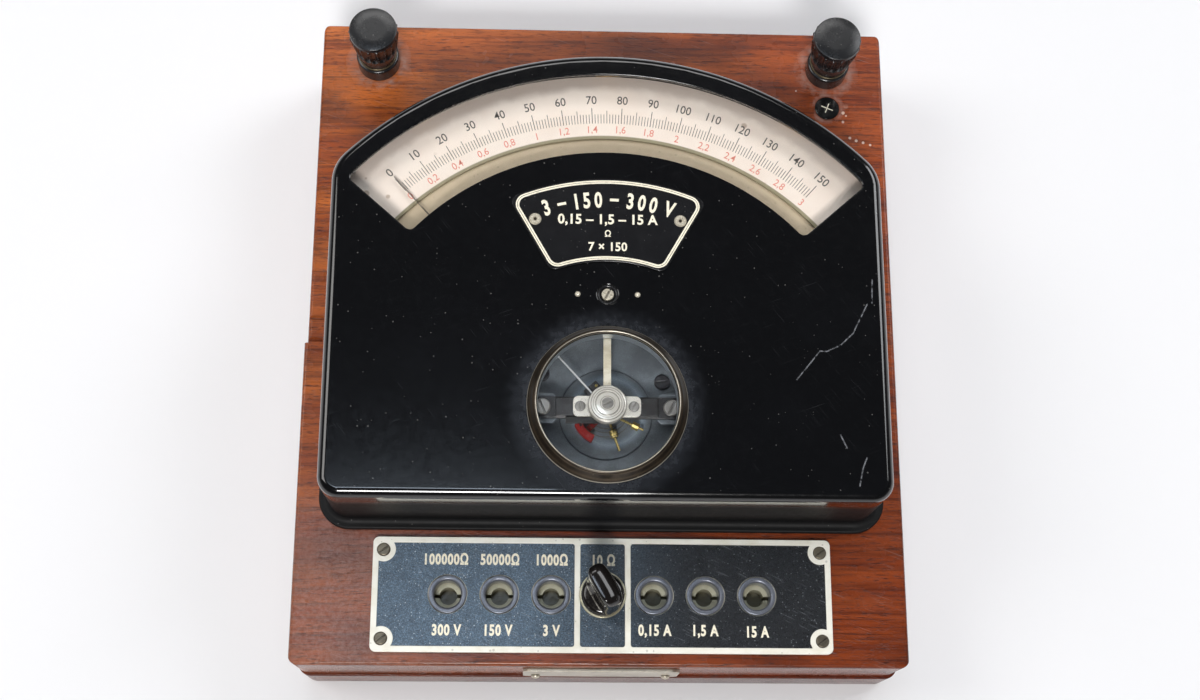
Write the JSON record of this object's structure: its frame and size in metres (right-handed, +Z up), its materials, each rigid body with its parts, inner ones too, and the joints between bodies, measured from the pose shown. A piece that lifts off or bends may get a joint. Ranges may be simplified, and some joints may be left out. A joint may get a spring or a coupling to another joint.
{
  "type": "voltammeter",
  "caption": "Portable moving-coil voltammeter: wooden case, black cover with arc scale window, range plug board in front and two fluted binding posts at the back.",
  "frame": {"origin": "centre of the bounding box, on the plane that the case stands on", "axes": "+Z up, +Y towards the binding posts at the back, +X to the right seen from the range sockets"},
  "size_m": [0.2048, 0.2328, 0.0893],
  "materials": {
    "varnished_wood": "gloss varnish",
    "plinth_wood": "gloss varnish",
    "bottom_wood": "oiled",
    "steel_screws": "worn",
    "keeper_nickel": "nickel plated",
    "black_lacquer": "gloss, fine scratches",
    "window_glass": "clear",
    "clip_brass": "satin",
    "bezel_brass": "dark patina",
    "name_plate_black": "satin, pale border",
    "bright_rivets": "polished",
    "scale_paper": "aged paper face",
    "scale_mirror": "silvered",
    "movement_brass": "satin",
    "magnet_red": "enamelled",
    "soft_iron": "machined",
    "grey_shield": "satin",
    "black_metal": "satin",
    "movement_nickel": "polished",
    "jewel_red": "polished",
    "red_insulation": "satin",
    "black_insulation": "satin",
    "lever_white": "satin",
    "pointer_aluminium": "satin",
    "coil_copper": "lacquered winding",
    "panel_nickel": "nickel silver, satin",
    "panel_black": "gloss enamel",
    "socket_metal": "tarnished",
    "contact_brass": "tarnished",
    "plug_brass": "worn",
    "grip_black": "polished",
    "post_brass": "worn",
    "washer_metal": "worn",
    "knob_black": "semi-gloss",
    "marker_black": "polished, pale cross",
    "bobbin_wood": "waxed"
  },
  "bodies": {
    "case": {"case_top": "varnished_wood", "case_sides": "varnished_wood", "plinth": "plinth_wood", "bottom_board": "bottom_wood", "bottom_screws": "steel_screws", "keeper_plate": "keeper_nickel", "keeper_screws": "steel_screws", "cover": "black_lacquer", "cover_screws": "steel_screws", "arc_glass": "window_glass", "glass_clips": "clip_brass", "bezel": "bezel_brass", "round_glass": "window_glass", "bezel_ring": "clip_brass", "name_plate": "name_plate_black", "cover_rivets": "bright_rivets", "adjuster_bush": "black_insulation", "scale_carrier": "movement_brass", "scale_plate": "scale_paper", "mirror_strip": "scale_mirror", "scale_pillars": "movement_brass", "movement_base": "movement_brass", "magnet": "magnet_red", "pole_shoes": "soft_iron", "core": "soft_iron", "shield_plate": "grey_shield", "shield_screws": "black_metal", "bridge_pillars": "grey_shield", "bridge": "black_metal", "movement_screws": "bright_rivets", "clamp_plate": "movement_nickel", "jewel_hub": "movement_nickel", "lower_jewel": "jewel_red", "lower_hairspring": "movement_brass", "panel_plate": "panel_nickel", "panel_enamel": "panel_black", "panel_screws": "steel_screws", "socket_bushes": "socket_metal", "contact_blocks": "contact_brass", "contact_bar": "contact_brass", "post_studs": "post_brass", "post_bases": "knob_black", "polarity_disc": "marker_black", "resistor_bobbins": "bobbin_wood", "connection_straps": "contact_brass"},
    "zero_adjuster": {"zero_screw": "bright_rivets"},
    "zero_fork": {"zero_lever": "lever_white", "upper_hairspring": "movement_brass"},
    "movement": {"pointer": "pointer_aluminium", "pointer_foot": "black_insulation", "spindle": "movement_nickel", "coil": "coil_copper", "balance_weights": "movement_brass", "lead_carrier": "red_insulation"},
    "range_plug": {"plug_pin": "plug_brass", "plug_grip": "grip_black"},
    "left_washer": {"left_washer": "washer_metal"},
    "left_knob": {"left_knob": "knob_black"},
    "right_washer": {"right_washer": "washer_metal"},
    "right_knob": {"right_knob": "knob_black"}
  },
  "joints": [
    {"name": "pointer_swing", "type": "hinge", "parent": "case", "child": "movement", "pos_m": [0, -0.0353, 0.06], "axis": [0, 0, -1], "range_deg": [-2, 86.5], "stiffness_Nm_per_rad": 0.00002},
    {"name": "zero_screw_turn", "type": "hinge", "parent": "case", "child": "zero_adjuster", "pos_m": [0, 0.0013, 0.083], "axis": [0, 0, 1], "range_deg": [-40, 40]},
    {"name": "zero_fork_swing", "type": "hinge", "parent": "case", "child": "zero_fork", "pos_m": [0, -0.0353, 0.081], "axis": [0, 0, 1], "range_deg": [-1, 1]},
    {"name": "range_plug_pull", "type": "slide", "parent": "case", "child": "range_plug", "axis": [0, 0, 1], "range_m": [0, 0.016]},
    {"name": "left_washer_lift", "type": "slide", "parent": "case", "child": "left_washer", "axis": [0, 0, 1], "range_m": [0, 0.0049]},
    {"name": "left_knob_turn", "type": "hinge", "parent": "left_washer", "child": "left_knob", "pos_m": [-0.0809, 0.10085, 0.06], "axis": [0, 0, 1], "range_deg": [0, 2520]},
    {"name": "right_washer_lift", "type": "slide", "parent": "case", "child": "right_washer", "axis": [0, 0, 1], "range_m": [0, 0.0049]},
    {"name": "right_knob_turn", "type": "hinge", "parent": "right_washer", "child": "right_knob", "pos_m": [0.0809, 0.10085, 0.06], "axis": [0, 0, 1], "range_deg": [0, 2520]}
  ],
  "couplings": [
    {"joint": "zero_fork_swing", "follows": "zero_screw_turn", "ratio": -0.0209},
    {"joint": "left_knob_turn", "follows": "left_washer_lift", "rad_per_m": 8976},
    {"joint": "right_knob_turn", "follows": "right_washer_lift", "rad_per_m": 8976}
  ]
}
